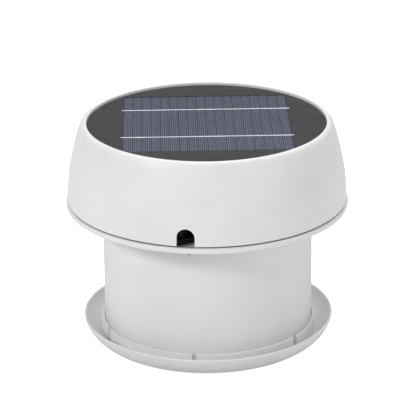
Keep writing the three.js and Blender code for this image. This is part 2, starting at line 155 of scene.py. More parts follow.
def lathe(name, outline, segments=192, closed=True):
    bm = bmesh.new()
    latheInto(bm, outline, segments, closed)
    return meshFrom(name, bm)


# Extrudes a flat outline (x, y pairs in millimetres) between two heights.
def prismInto(bm, outline, bottom, top, matrix=Matrix()):
    low = [bm.verts.new(matrix @ Vector((x * mm, y * mm, bottom * mm))) for x, y in outline]
    high = [bm.verts.new(matrix @ Vector((x * mm, y * mm, top * mm))) for x, y in outline]
    bm.faces.new(low[::-1])
    bm.faces.new(high)
    for i in range(len(low)):
        n = (i + 1) % len(low)
        bm.faces.new([low[i], low[n], high[n], high[i]])


def slabOutline(sizeX, sizeY, corner, steps=6):
    outline = []
    for cx, cy, start in ((1, 1, 0), (-1, 1, 90), (-1, -1, 180), (1, -1, 270)):
        for k in range(steps + 1):
            a = math.radians(start + 90 * k / steps)
            outline.append((cx * (sizeX / 2 - corner) + corner * math.cos(a),
                            cy * (sizeY / 2 - corner) + corner * math.sin(a)))
    return outline


def softenInto(bm, width, angle=38, segments=2):
    bmesh.ops.remove_doubles(bm, verts=bm.verts, dist=2e-6)
    bmesh.ops.dissolve_limit(bm, angle_limit=math.radians(1), verts=bm.verts, edges=bm.edges)
    sharp = [e for e in bm.edges if e.is_manifold and e.calc_face_angle(0) > math.radians(angle)]
    bmesh.ops.bevel(bm, geom=sharp, offset=width * mm, offset_type="OFFSET", segments=segments,
                    profile=0.5, affect="EDGES", clamp_overlap=True)


def cut(mesh, cutterBm, name):
    cutter = newObject(name + "_cutter", meshFrom(name + "_cutter", cutterBm))
    body = newObject(name + "_blank", mesh)
    modifier = body.modifiers.new("cut", "BOOLEAN")
    modifier.operation = "DIFFERENCE"
    modifier.solver = "EXACT"
    modifier.object = cutter
    graph = bpy.context.evaluated_depsgraph_get()
    result = bpy.data.meshes.new_from_object(body.evaluated_get(graph))
    dropObject(body)
    dropObject(cutter)
    return result


# The CAD node's own shape with its edges rounded a little.
def softCopy(node, width, angle=38, segments=2):
    bm = bmesh.new()
    bm.from_mesh(nodes[node].data)
    softenInto(bm, width, angle, segments)
    return meshFrom(node + "_soft", bm)


def turnAbout(mesh, degrees):
    mesh.transform(Matrix.Rotation(math.radians(degrees), 4, "Z"))
    return mesh


# One node tree places copies about Z, the other along X.
def makeRepeater(name, turning):
    tree = bpy.data.node_groups.new(name, "GeometryNodeTree")
    tree.is_modifier = True
    wanted = (("Geometry", "NodeSocketGeometry"), ("Copies", "NodeSocketInt"),
              ("First", "NodeSocketFloat"), ("Step", "NodeSocketFloat"),
              ("Template", "NodeSocketObject"), ("Finish", "NodeSocketMaterial"))
    for label, kind in wanted:
        tree.interface.new_socket(name=label, in_out="INPUT", socket_type=kind)
    tree.interface.new_socket(name="Geometry", in_out="OUTPUT", socket_type="NodeSocketGeometry")
    given = addNode(tree, "NodeGroupInput").outputs
    item = addNode(tree, "GeometryNodeObjectInfo", {"As Instance": True}, {"Object": given["Template"]})
    if turning:
        line = addNode(tree, "GeometryNodeMeshLine", {"Offset": (0, 0, 0)}, {"Count": given["Copies"]})
        index = addNode(tree, "GeometryNodeInputIndex")
        angle = addNode(tree, "ShaderNodeMath", None,
                        {0: index.outputs[0], 1: given["Step"], 2: given["First"]},
                        operation="MULTIPLY_ADD")
        spin = addNode(tree, "ShaderNodeCombineXYZ", None, {"Z": angle.outputs[0]})
        placed = addNode(tree, "GeometryNodeInstanceOnPoints", None,
                         {"Points": line.outputs[0], "Instance": item.outputs["Geometry"],
                          "Rotation": spin.outputs[0]})
    else:
        start = addNode(tree, "ShaderNodeCombineXYZ", None, {"X": given["First"]})
        step = addNode(tree, "ShaderNodeCombineXYZ", None, {"X": given["Step"]})
        line = addNode(tree, "GeometryNodeMeshLine", None,
                       {"Count": given["Copies"], "Start Location": start.outputs[0],
                        "Offset": step.outputs[0]})
        placed = addNode(tree, "GeometryNodeInstanceOnPoints", None,
                         {"Points": line.outputs[0], "Instance": item.outputs["Geometry"]})
    real = addNode(tree, "GeometryNodeRealizeInstances", None, {"Geometry": placed.outputs[0]})
    finish = addNode(tree, "GeometryNodeSetMaterial", None,
                     {"Geometry": real.outputs[0], "Material": given["Finish"]})
    addNode(tree, "NodeGroupOutput", None, {0: finish.outputs[0]})
    return tree


def repeated(name, tree, template, look, copies, first, step):
    item = newObject(name + "_template", template)
    carrier = newObject(name + "_carrier", bpy.data.meshes.new(name + "_carrier"))
    modifier = carrier.modifiers.new("repeat", "NODES")
    modifier.node_group = tree
    chosen = {"Copies": copies, "First": first, "Step": step, "Template": item, "Finish": look}
    for socket in tree.interface.items_tree:
        if socket.in_out == "INPUT" and socket.name in chosen:
            modifier[socket.identifier] = chosen[socket.name]
    graph = bpy.context.evaluated_depsgraph_get()
    result = bpy.data.meshes.new_from_object(carrier.evaluated_get(graph))
    result.name = name
    dropObject(carrier)
    dropObject(item)
    return result


aroundZ = makeRepeater("copiesAroundZ", True)
alongX = makeRepeater("copiesAlongX", False)


def startMaterial(name):
    made = bpy.data.materials.new(name)
    made.use_nodes = True
    tree = made.node_tree
    tree.nodes.clear()
    place = addNode(tree, "ShaderNodeTexCoord").outputs["Object"]
    shader = addNode(tree, "ShaderNodeBsdfPrincipled")
    addNode(tree, "ShaderNodeOutputMaterial", None, {"Surface": shader.outputs[0]})
    return made, tree, place, shader


def noiseAt(tree, place, sizeMm, detail=3.0, roughness=0.5, stretch=None):
    if stretch:
        place = addNode(tree, "ShaderNodeMapping", {"Scale": stretch}, {"Vector": place}).outputs[0]
    values = {"Scale": 1000 / sizeMm, "Detail": detail, "Roughness": roughness}
    return addNode(tree, "ShaderNodeTexNoise", values, {"Vector": place}).outputs["Fac"]


# The mix node's sockets 6 and 7 are its two colours, and output 2 is the mixed one.
def mixColours(tree, factor, low, high):
    made = addNode(tree, "ShaderNodeMix", None, {"Factor": factor}, data_type="RGBA")
    for key, value in ((6, low), (7, high)):
        if isinstance(value, list):
            made.inputs[key].default_value = value
        else:
            tree.links.new(value, made.inputs[key])
    return made.outputs[2]


def spread(tree, source, low, high, fromLow=0.3, fromHigh=0.7):
    values = {"From Min": fromLow, "From Max": fromHigh, "To Min": low, "To Max": high}
    return addNode(tree, "ShaderNodeMapRange", values, {"Value": source}).outputs[0]


def addBump(tree, height, depthMm, shader, strength=1.0):
    values = {"Strength": strength, "Distance": depthMm * mm}
    bump = addNode(tree, "ShaderNodeBump", values, {"Height": height})
    tree.links.new(bump.outputs["Normal"], shader.inputs["Normal"])


# Moulded thermoplastic: spark-eroded tool texture, slight flow mottling and handling haze.
def mouldedPlastic(name, colour, shade, roughness, grainMm=0.45, depthMm=0.012, stretch=None):
    made, tree, place, shader = startMaterial(name)
    mottle = spread(tree, noiseAt(tree, place, 38, 2), 0, 1)
    base = mixColours(tree, mottle, linearColour(shade), linearColour(colour))
    tree.links.new(base, shader.inputs["Base Color"])
    haze = noiseAt(tree, place, 14, 4, 0.6, stretch)
    tree.links.new(spread(tree, haze, roughness - 0.06, roughness + 0.07), shader.inputs["Roughness"])
    addBump(tree, noiseAt(tree, place, grainMm, 2, 0.55, stretch), depthMm, shader, 0.5)
    return made


# Metal stock: drawn or turned, with fine scratches in the roughness.
def plainMetal(name, colour, shade, roughness, stretch=None, depthMm=0.004):
    made, tree, place, shader = startMaterial(name)
    shader.inputs["Metallic"].default_value = 1.0
    patch = spread(tree, noiseAt(tree, place, 3, 3), 0, 1)
    base = mixColours(tree, patch, linearColour(shade), linearColour(colour))
    tree.links.new(base, shader.inputs["Base Color"])
    scratch = noiseAt(tree, place, 0.6, 4, 0.6, stretch)
    tree.links.new(spread(tree, scratch, roughness - 0.08, roughness + 0.12), shader.inputs["Roughness"])
    addBump(tree, scratch, depthMm, shader, 0.4)
    return made


# Charcoal glass-fibre board with a pressed matt grain, drawn 1.5 mm coarse so that it shows.
def texturedLaminate():
    made, tree, place, shader = startMaterial("charcoal_epoxy_glass_laminate")
    grain = noiseAt(tree, place, 1.5, 3, 0.6)
    cloud = spread(tree, noiseAt(tree, place, 12, 4, 0.6, (0.4, 1, 1)), 0, 1)
    speck = spread(tree, grain, 0, 0.6, 0.42, 0.72)
    base = mixColours(tree, cloud, linearColour("#1a1819"), linearColour("#2a2829"))
    tree.links.new(mixColours(tree, speck, base, linearColour("#3d3c3e")), shader.inputs["Base Color"])
    shader.inputs["Roughness"].default_value = 0.75
    shader.inputs["Specular IOR Level"].default_value = 0.25
    addBump(tree, grain, 0.03, shader, 0.6)
    return made


def siliconCells():  # cast polycrystalline wafers: flat grains under a blue antireflection coat
    made, tree, place, shader = startMaterial("polycrystalline_silicon")
    values = {"Scale": 1000 / 5.5, "Randomness": 1.0}  # grains about 5.5 mm across
    grains = addNode(tree, "ShaderNodeTexVoronoi", values, {"Vector": place})
    pick = addNode(tree, "ShaderNodeSeparateColor", None, {"Color": grains.outputs["Color"]}).outputs[0]
    cloud = spread(tree, noiseAt(tree, place, 45, 2), 0, 1)
    cool = mixColours(tree, pick, linearColour("#0f1a3d"), linearColour("#162149"))
    warm = mixColours(tree, pick, linearColour("#141a36"), linearColour("#1b203b"))
    tree.links.new(mixColours(tree, cloud, cool, warm), shader.inputs["Base Color"])
    tree.links.new(spread(tree, pick, 0.42, 0.5, 0, 1), shader.inputs["Roughness"])
    shader.inputs["Specular IOR Level"].default_value = 0.3
    addBump(tree, noiseAt(tree, place, 0.35, 2), 0.004, shader, 0.4)
    return made


def clearFilm():  # clear polyester film with a fine satin emboss
    made, tree, place, shader = startMaterial("satin_clear_polyester_film")
    emboss = noiseAt(tree, place, 0.6, 2, 0.6)
    shader.inputs["Base Color"].default_value = linearColour("#b9bcc4")
    tree.links.new(spread(tree, emboss, 0.34, 0.48), shader.inputs["Roughness"])
    addBump(tree, emboss, 0.02, shader, 0.5)
    clear = addNode(tree, "ShaderNodeBsdfTransparent")
    blend = addNode(tree, "ShaderNodeMixShader", {0: 0.03}, {1: clear.outputs[0], 2: shader.outputs[0]})
    output = next(n for n in tree.nodes if n.type == "OUTPUT_MATERIAL")
    tree.links.new(blend.outputs[0], output.inputs["Surface"])
    return made


def enamelledCopper():  # wound copper wire: round turns stacked along Z
    made, tree, place, shader = startMaterial("enamelled_copper_winding")
    shader.inputs["Metallic"].default_value = 0.9
    # The wire is about 0.35 mm thick. Its turns are drawn 2.2 mm apart, coarse enough to show.
    values = {"Scale": 1000 / 0.35 / 20, "Distortion": 0.4}
    turns = addNode(tree, "ShaderNodeTexWave", values, {"Vector": place},
                    wave_type="BANDS", bands_direction="Z").outputs["Fac"]
    tree.links.new(mixColours(tree, turns, linearColour("#5c2c14"), linearColour("#b8703f")),
                   shader.inputs["Base Color"])
    shader.inputs["Roughness"].default_value = 0.35
    addBump(tree, turns, 0.12, shader, 0.8)
    return made


def circuitBoard():  # green solder mask, raised over patches of copper
    made, tree, place, shader = startMaterial("solder_masked_circuit_board")
    edge = spread(tree, noiseAt(tree, place, 2.2, 0), 0, 1, 0.48, 0.52)
    tree.links.new(mixColours(tree, edge, linearColour("#174b2c"), linearColour("#24683e")),
                   shader.inputs["Base Color"])
    shader.inputs["Roughness"].default_value = 0.38
    addBump(tree, edge, 0.03, shader, 0.5)
    return made


looks = {
    "hood": mouldedPlastic("asa_moulded_white", "#ececec", "#e7e7e8", 0.42),
    "duct": mouldedPlastic("pvc_extruded_white", "#e8e8e8", "#e3e3e3", 0.46, 0.9, 0.01, (1, 1, 0.03)),
    "trim": mouldedPlastic("abs_moulded_white", "#eaeaea", "#e5e5e5", 0.4),
    "laminate": texturedLaminate(),
    "silicon": siliconCells(),
    "film": clearFilm(),
    "ribbon": plainMetal("tinned_copper_ribbon", "#f2f2f6", "#dcdce4", 0.5, (0.08, 1, 1)),
    "finger": plainMetal("fired_silver_paste", "#b4b8cc", "#9fa3ba", 0.5),
    "blackPlastic": mouldedPlastic("pbt_glass_filled_black", "#262628", "#1f1f21", 0.48, 0.35, 0.02),
    "cable": mouldedPlastic("pvc_cable_sheath_black", "#161618", "#111113", 0.45, 0.8, 0.01),
    "foam": mouldedPlastic("closed_cell_foam_tape", "#2a2b2e", "#1f2023", 0.85, 0.6, 0.12),
    "steel": plainMetal("zinc_plated_steel", "#c3c6ca", "#a3a6ab", 0.34),
    "bronze": plainMetal("sintered_bronze", "#a9814c", "#86602f", 0.5, None, 0.03),
    "ferrite": mouldedPlastic("bonded_ferrite", "#3b3b3e", "#303033", 0.6, 0.25, 0.03),
    "copper": enamelledCopper(),
    "board": circuitBoard(),
}
print("materials", len(looks))


hood = {  # millimetres and degrees; outline corners are (radius, height, rounding)
    "wall": [(106.2, 111.3), (106.1, 116), (105.7, 124), (104.7, 133), (103.0, 142), (101.0, 151),
             (98.9, 159), (97.2, 165), (96.1, 167.9), (94.9, 169.9), (93.4, 171.1), (91.9, 171.5)],
    "lip": (91.0, 171.4, 0.3),
    "seat": [(90.6, 170.9, 0.4), (90.6, 166.2, 0.3), (0, 166.2, 0), (0, 163.6, 0)],
    "inside": [(93.0, 163.6, 1.5), (96.4, 159, 4), (98.5, 151, 30), (102.2, 133, 40), (103.2, 124, 30),
               (103.7, 110.8, 0.4)],
    "foot": (105.5, 110.8, 0.3),
    "notch": (13.4, 13.6),  # width, height
    "notchFrom": 100,  # the cutter starts this far out and runs through the wall
    "notchDepth": 12,
    "boxHole": (43, 33, 3),  # length, width, corner
    "boxHoleHeights": (160, 168),
    "panelTurn": 9.9,
    "postAngle": 40.5,
    "postCircle": 88,
    "postRadius": 4.5,
    "postFoot": 108.3,
    "postTop": 163.4,
    "pilotRadius": 1.6,
    "pilotTop": (122.5, 124),  # where the screw hole's tip begins and ends
    "ribReach": (91.5, 96),
    "ribHalf": 1,
    "ribBottom": 130,
}


def archOutline(width, height, drop=3, steps=24):
    half = width / 2
    arc = [(half * math.cos(math.pi * k / steps), height - half + half * math.sin(math.pi * k / steps))
           for k in range(steps + 1)]
    return [(half, -drop)] + arc + [(-half, -drop)]


def hoodPosts():
    radius, pilot = hood["postRadius"], hood["pilotRadius"]
    foot, top = hood["postFoot"], hood["postTop"]
    tipStart, tipEnd = hood["pilotTop"]
    barrel = filleted([(pilot, foot, 0), (radius, foot, 0.4), (radius, top, 0), (0, top, 0), (0, tipEnd, 0),
                       (pilot, tipStart, 0)], closed=True, steps=3)
    start = next(i for i, p in enumerate(barrel) if p[0] == 0 and p[1] > tipEnd)
    barrel = barrel[start + 1:] + barrel[:start + 1]
    post = bmesh.new()
    latheInto(post, barrel, 32, closed=False)
    bmesh.ops.translate(post, verts=post.verts, vec=(0, -hood["postCircle"] * mm, 0))
    half = hood["ribHalf"]
    near, far = hood["ribReach"]
    prismInto(post, [(half, -near), (half, -far), (-half, -far), (-half, -near)], hood["ribBottom"], top)
    return repeated("hood_posts", aroundZ, meshFrom("hood_post", post), looks["hood"], 4,
                    math.radians(hood["postAngle"]), math.radians(90))


def buildHood():
    wall = [(p.x, p.y, 0) for p in curved(hood["wall"])]
    corners = [hood["lip"]] + hood["seat"] + hood["inside"] + [hood["foot"]] + wall
    outline = filleted(corners, closed=True, steps=4)
    axisAt = next(i for i, p in enumerate(outline) if p[0] == 0)  # the outline starts and ends on the axis
    outline = outline[axisAt + 1:] + outline[:axisAt + 1]
    mesh = lathe("hood", outline, 256, closed=False)

    cutter = bmesh.new()
    standing = Matrix.Translation((0, -hood["notchFrom"] * mm, hood["foot"][1] * mm))
    standing = standing @ Matrix.Rotation(math.radians(90), 4, "X")
    prismInto(cutter, archOutline(*hood["notch"]), 0, hood["notchDepth"], standing)
    turn = Matrix.Rotation(math.radians(hood["panelTurn"]), 4, "Z")
    prismInto(cutter, slabOutline(*hood["boxHole"]), *hood["boxHoleHeights"], turn)
    mesh = cut(mesh, cutter, "hood")

    posts = hoodPosts()
    whole = bmesh.new()
    whole.from_mesh(mesh)
    whole.from_mesh(posts)
    bpy.data.meshes.remove(posts)
    finishPiece("hood_shell", meshFrom("hood_shell", whole), looks["hood"], "white_hood", "ventilator",
                "hood")


buildHood()
print("hood done")


panel = {  # millimetres and degrees
    "turn": hood["panelTurn"],
    "radius": 90.3,
    "boardHeights": (167, 169.5),
    "filmHeights": (169.65, 170.1),
    "clearance": 0.3,  # round the cells and the ribbons, in their pockets
    "cellPocketFloor": 168.7,
    "ribbonPocketFloor": 169.1,
    "pocketTop": 170,
    "cell": 125,
    "cellHeights": (168.85, 169.2),
    "strips": 18,
    "stripGap": 0.75,
    "fingersPerStrip": 5,
    "fingerWidth": 0.15,  # the printed lines are finer; this wide they show
    "fingerMargin": 1.2,
    "fingerSink": 0.01,
    "fingerHeight": 0.03,
    "ribbonAt": (-31, 31),
    "ribbonWidth": 1.4,
    "ribbonOver": 2,
    "ribbonHeights": (169.26, 169.38),
    "ribbonDip": 0.05,  # how far it sinks between two strips
    "dipReach": 0.1,  # in strip widths
    "ribbonEdge": (0.12, 0.04),  # across, down
    "ribbonSteps": 144,
}


def panelBacking(turn):
    low, high = panel["boardHeights"]
    radius = panel["radius"]
    board = filleted([(0, low, 0), (radius, low, 0.3), (radius, high, 0.4), (0, high, 0)], closed=False,
                     steps=3)
    mesh = lathe("panel_board", board, 256, closed=False)
    clearance = 2 * panel["clearance"]
    pocket = panel["cell"] + clearance
    cutter = bmesh.new()
    square = slabOutline(pocket, pocket, 0.5, 2)
    prismInto(cutter, square, panel["cellPocketFloor"], panel["pocketTop"], turn)
    mesh = cut(mesh, cutter, "panel_board")
    length = panel["cell"] + 2 * panel["ribbonOver"] + clearance
    bed = slabOutline(length, panel["ribbonWidth"] + clearance, 0.4, 2)
    cutter = bmesh.new()
    for y in panel["ribbonAt"]:
        shift = turn @ Matrix.Translation((0, y * mm, 0))
        prismInto(cutter, bed, panel["ribbonPocketFloor"], panel["pocketTop"], shift)
    return cut(mesh, cutter, "panel_board")


# A ribbon lies on the strips and sinks a little into each gap between them.
def ribbonMesh(y, pitch):
    length = panel["cell"] + 2 * panel["ribbonOver"]
    across = panel["ribbonWidth"] / 2
    inset, drop = panel["ribbonEdge"]
    ribbon = bmesh.new()
    rows = []
    for k in range(panel["ribbonSteps"] + 1):
        x = -length / 2 + length * k / panel["ribbonSteps"]
        phase = ((x + panel["cell"] / 2) / pitch) % 1.0
        dip = panel["ribbonDip"] * max(0.0, 1 - min(phase, 1 - phase) / panel["dipReach"])
        low, top = (height - dip for height in panel["ribbonHeights"])
        section = [(-across, low), (across, low), (across, top - drop), (across - inset, top),
                   (-across + inset, top), (-across, top - drop)]
        rows.append([ribbon.verts.new((x * mm, (y + v) * mm, z * mm)) for v, z in section])
    for a, b in zip(rows, rows[1:]):
        for i in range(len(a)):
            n = (i + 1) % len(a)
            ribbon.faces.new([a[i], a[n], b[n], b[i]])
    ribbon.faces.new(rows[0][::-1])
    ribbon.faces.new(rows[-1])
    return turnAbout(meshFrom("ribbon", ribbon), panel["turn"])


def buildPanel():
    turn = Matrix.Rotation(math.radians(panel["turn"]), 4, "Z")
    finishPiece("panel_backing", panelBacking(turn), looks["laminate"], "panel_board", "ventilator",
                "panel_board")

    pitch = panel["cell"] / panel["strips"]
    strip = bmesh.new()
    prismInto(strip, slabOutline(pitch - panel["stripGap"], panel["cell"], 0.25, 2), *panel["cellHeights"])
    softenInto(strip, 0.05)
    strips = repeated("cell_strips", alongX, meshFrom("cell_strip", strip), looks["silicon"],
                      panel["strips"], (pitch - panel["cell"]) / 2 * mm, pitch * mm)
    finishPiece("cell_strips", turnAbout(strips, panel["turn"]), None, "silicon_cells", "ventilator",
                "cell_array")

    fingerPitch = pitch / panel["fingersPerStrip"]
    low = panel["cellHeights"][1] - panel["fingerSink"]
    line = slabOutline(panel["fingerWidth"], panel["cell"] - 2 * panel["fingerMargin"], 0.08, 2)
    finger = bmesh.new()
    prismInto(finger, line, low, low + panel["fingerHeight"])
    copies = panel["strips"] * panel["fingersPerStrip"]
    fingers = repeated("cell_fingers", alongX, meshFrom("cell_finger", finger), looks["finger"], copies,
                       (fingerPitch - panel["cell"]) / 2 * mm, fingerPitch * mm)
    finishPiece("cell_fingers", turnAbout(fingers, panel["turn"]), None, "tinned_ribbon", "ventilator")

    for label, y in zip(("front", "back"), panel["ribbonAt"]):
        finishPiece("tinned_ribbon_" + label, ribbonMesh(y, pitch), looks["ribbon"], "tinned_ribbon",
                    "ventilator", "ribbon_" + label)

    low, high = panel["filmHeights"]
    radius = panel["radius"]
    film = filleted([(0, low, 0), (radius, low, 0.1), (radius, high, 0.2), (0, high, 0)], closed=False,
                    steps=3)
    finishPiece("cover_film", lathe("cover_film", film, 256, closed=False), looks["film"], "clear_film",
                "ventilator", "panel_film")


buildPanel()
print("panel done")


plate = {  # millimetres and degrees; the roof flange with the spigot that the duct fits over
    "section": [(67, 105.6, 0.6), (75.7, 105.6, 0.3), (75.7, 85.6, 0.6), (77.7, 85.6, 0.6),
                (77.7, 106, 0.1), (80.3, 106, 0.1), (80.3, 105.6, 0.1), (107.3, 105.6, 1.8),
                (107.3, 110, 0.8), (105.4, 110, 1.0), (98.6, 108, 1.0), (67, 108, 0.5)],
    "screwHole": [(0, 104), (3.6, 104), (3.6, 106.3), (1.9, 107.7), (1.9, 110), (0, 110)],
    "screwHoles": 8,  # four into the hood's posts and four into the fan's corners
    "screwCircle": hood["postCircle"],
    "firstAngle": -4.5,
}
duct = {"section": [(78, 0, 0.5), (80, 0, 0.5), (80, 105.5, 0.3), (78, 105.5, 0.3)]}
trim = {
    "section": [(80.3, 0.3, 0.4), (82.8, 0.3, 2), (86.2, 1.8, 12), (89.8, 4.6, 14), (92.9, 8.2, 14),
                (95.1, 12.2, 12), (96.2, 15.6, 1.2), (95.9, 16.4, 0.5), (94.7, 16.4, 0.5), (94.2, 15.6, 1),
                (93, 12.4, 12), (90.8, 9, 14), (87.8, 6, 14), (84.8, 3.8, 10), (82.5, 3.2, 1.2),
                (82.5, 14.8, 0.5), (80.3, 14.8, 0.5)],
    "slots": 6,
    "slotWidth": 4,
    "slotReach": (76, 84.3),
    "slotHeights": (3.5, 20),
    "turn": 1.5,
}


def buildPlate():
    mesh = lathe("base_plate", filleted(plate["section"], True), 256)
    cutter = bmesh.new()
    for k in range(plate["screwHoles"]):
        angle = math.radians(plate["firstAngle"] + 360 / plate["screwHoles"] * k)
        hole = bmesh.new()
        latheInto(hole, plate["screwHole"], 32, closed=False)
        moved = Matrix.Rotation(angle, 4, "Z") @ Matrix.Translation((0, -plate["screwCircle"] * mm, 0))
        bmesh.ops.transform(hole, verts=hole.verts, matrix=moved)
        part = bpy.data.meshes.new("hole")
        hole.to_mesh(part)
        hole.free()
        cutter.from_mesh(part)
        bpy.data.meshes.remove(part)
    mesh = cut(mesh, cutter, "base_plate")
    finishPiece("roof_flange_plate", mesh, looks["hood"], "white_hood", "ventilator", "base_plate")


def buildDuct():
    mesh = lathe("duct", filleted(duct["section"], True), 256)
    finishPiece("duct_pipe", mesh, looks["duct"], "white_duct", "ventilator", "duct_tube")


def buildTrim():
    mesh = lathe("trim", filleted(trim["section"], True, 5), 240)
    cutter = bmesh.new()
    half = trim["slotWidth"] / 2
    near, far = trim["slotReach"]
    slot = [(half, -far), (half, -near), (-half, -near), (-half, -far)]
    for k in range(trim["slots"]):
        turn = Matrix.Rotation(2 * math.pi * k / trim["slots"], 4, "Z")
        prismInto(cutter, slot, *trim["slotHeights"], turn)
    mesh = turnAbout(cut(mesh, cutter, "trim"), trim["turn"])
    finishPiece("ceiling_trim_saucer", mesh, looks["trim"], "white_trim", "ceiling_trim", "trim_ring")


buildPlate()
buildDuct()
buildTrim()
print("plate, duct and trim done")


screws = {  # millimetres and degrees; a head's outline runs from its face to its shank
    "panHead": [(0, 0, 0), (1.6, 0.02, 1), (2.4, 0.7, 0.8), (2.6, 1.9, 0.2), (1.3, 1.9, 0)],
    "tubeShank": 1.3,
    "tubeLength": 8,
    "tubeFaceAt": 82.2,
    "tubeHeight": 96.9,
    "tubeTurn": -1,
    "sunkHead": [(0, 0, 0), (3.1, 0, 0.15), (3.2, 0.3, 0.15), (1.5, 1.7, 0.1), (1.5, 2.2, 0)],
    "sunkShank": 1.5,
    "sunkFace": 105.7,
    "hoodLength": 14,
    "fanLength": 12,
    "threadStart": 0.4,
    "threadPitch": 1.2,
    "threadDepth": 0.3,
    "threadEnd": 1.6,
    "tip": 1.4,
    "crossWidth": 0.9,
    "crossLength": 3.4,
    "crossDepth": 1.1,
}


# A screw along +Z with its head's face at z = 0, a cross recess and a turned thread.
def screwMesh(name, head, shank, length):
    outline = filleted(head, False, 4)
    outline += [Vector((shank, head[-1][1]))]
    root = shank - screws["threadDepth"]
    z = head[-1][1] + screws["threadStart"]
    while z < length - screws["threadEnd"]:
        outline += [Vector((root, z)), Vector((shank, z + screws["threadPitch"] * 0.5)),
                    Vector((root, z + screws["threadPitch"]))]
        z += screws["threadPitch"]
    outline += [Vector((0, z + screws["tip"]))]
    mesh = lathe(name, outline, 32, closed=False)
    wide, long = screws["crossWidth"] / 2, screws["crossLength"] / 2
    cross = [(wide, long), (-wide, long), (-wide, wide), (-long, wide), (-long, -wide), (-wide, -wide),
             (-wide, -long), (wide, -long), (wide, -wide), (long, -wide), (long, wide), (wide, wide)]
    cutter = bmesh.new()
    prismInto(cutter, cross, -1, screws["crossDepth"])
    return cut(mesh, cutter, name)


def screwSet(label, single, firstAngle):
    four = repeated(label + "_screws", aroundZ, single, looks["steel"], 4, math.radians(firstAngle),
                    math.radians(90))
    finishPiece(label + "_screw_set", four, None, "steel", "ventilator",
                *["%s_screw_%d" % (label, i) for i in range(1, 5)])


def buildScrews():
    tube = screwMesh("tube_screw", screws["panHead"], screws["tubeShank"], screws["tubeLength"])
    place = Matrix.Translation((0, -screws["tubeFaceAt"] * mm, screws["tubeHeight"] * mm))
    tube.transform(place @ Matrix.Rotation(math.radians(-90), 4, "X"))
    screwSet("tube", tube, screws["tubeTurn"])
    for label, firstAngle in (("hood", hood["postAngle"]), ("fan", plate["firstAngle"])):
        length = screws[label + "Length"]
        single = screwMesh(label + "_screw", screws["sunkHead"], screws["sunkShank"], length)
        single.transform(Matrix.Translation((0, -plate["screwCircle"] * mm, screws["sunkFace"] * mm)))
        screwSet(label, single, firstAngle)


buildScrews()
print("screws done")


fan = {  # millimetres and degrees; pairs are (root, tip)
    "blades": 7,
    "bladeReach": (22.0, 65.3),
    "bladeMiddle": 118.1,
    "chord": (24, 46),
    "pitch": (43, 22),
    "camber": 3.2,
    "thickness": 1.6,
    "tipThinning": 0.25,
    "sweep": 12,
    "hub": [(0, 111.1, 0), (23, 111.1, 2.2), (23, 128.6, 0.4), (21.3, 128.6, 0.4), (21.3, 114.1, 0.5),
            (3.7, 114.1, 0.3), (3.7, 115.6, 0.2), (1.58, 115.6, 0.1), (1.58, 112.3, 0), (0, 112.3, 0)],
}
guard = {  # millimetres and degrees
    "rings": (60, 48, 36, 24),
    "ringHalf": 1.1,
    "bottom": 86,
    "ringTop": 88,
    "rim": [(72.6, 86, 0.5), (75.4, 86, 0.5), (75.4, 90, 0.5), (72.6, 90, 0.5)],
    "centre": [(0, 86, 0), (12, 86, 0.7), (12, 89, 0.7), (0, 89, 0)],
    "spokes": 8,
    "spokeHalf": 1.2,
    "spokeReach": (11, 73),
    "spokeHeights": (86.5, 89.5),
    "turn": 9,
}


def between(pair, along):
    return pair[0] + along * (pair[1] - pair[0])


def bladeMesh(alongSteps=16, chordSteps=14):
    bm = bmesh.new()
    sides = []
    for side in (-0.5, 0.5):
        grid = []
        for i in range(alongSteps + 1):
            along = i / alongSteps
            radius = between(fan["bladeReach"], along)
            chord = between(fan["chord"], along)
            pitch = math.radians(between(fan["pitch"], along))
            thinning = 1 - fan["tipThinning"] * along
            row = []
            for j in range(chordSteps + 1):
                across = j / chordSteps - 0.5
                thickness = fan["thickness"] * math.sqrt(max(0.0, 1 - (2 * across) ** 4)) * thinning
                bulge = fan["camber"] * (1 - 4 * across * across) + side * thickness
                forward = across * chord * math.cos(pitch) + bulge * math.sin(pitch)
                lift = -across * chord * math.sin(pitch) + bulge * math.cos(pitch)
                turn = forward / radius + math.radians(fan["sweep"]) * along * along
                row.append(bm.verts.new((radius * math.sin(turn) * mm, -radius * math.cos(turn) * mm,
                                         (fan["bladeMiddle"] + lift) * mm)))
            grid.append(row)
        sides.append(grid)
    for grid in sides:
        for i in range(alongSteps):
            for j in range(chordSteps):
                bm.faces.new([grid[i][j], grid[i + 1][j], grid[i + 1][j + 1], grid[i][j + 1]])
    for i in (0, alongSteps):  # the root and the tip are closed
        for j in range(chordSteps):
            low, high = sides[0][i], sides[1][i]
            bm.faces.new([low[j], low[j + 1], high[j + 1], high[j]])
    return meshFrom("fan_blade", bm)


def buildRotor():
    blades = repeated("fan_blades", aroundZ, bladeMesh(), looks["blackPlastic"], fan["blades"], 0.0,
                      2 * math.pi / fan["blades"])
    whole = bmesh.new()
    latheInto(whole, filleted(fan["hub"], False, 5), 96, closed=False)
    whole.from_mesh(blades)
    bpy.data.meshes.remove(blades)
    finishPiece("fan_wheel_moulding", meshFrom("fan_wheel", whole), looks["blackPlastic"], "black_plastic",
                "fan_wheel", "fan_rotor")


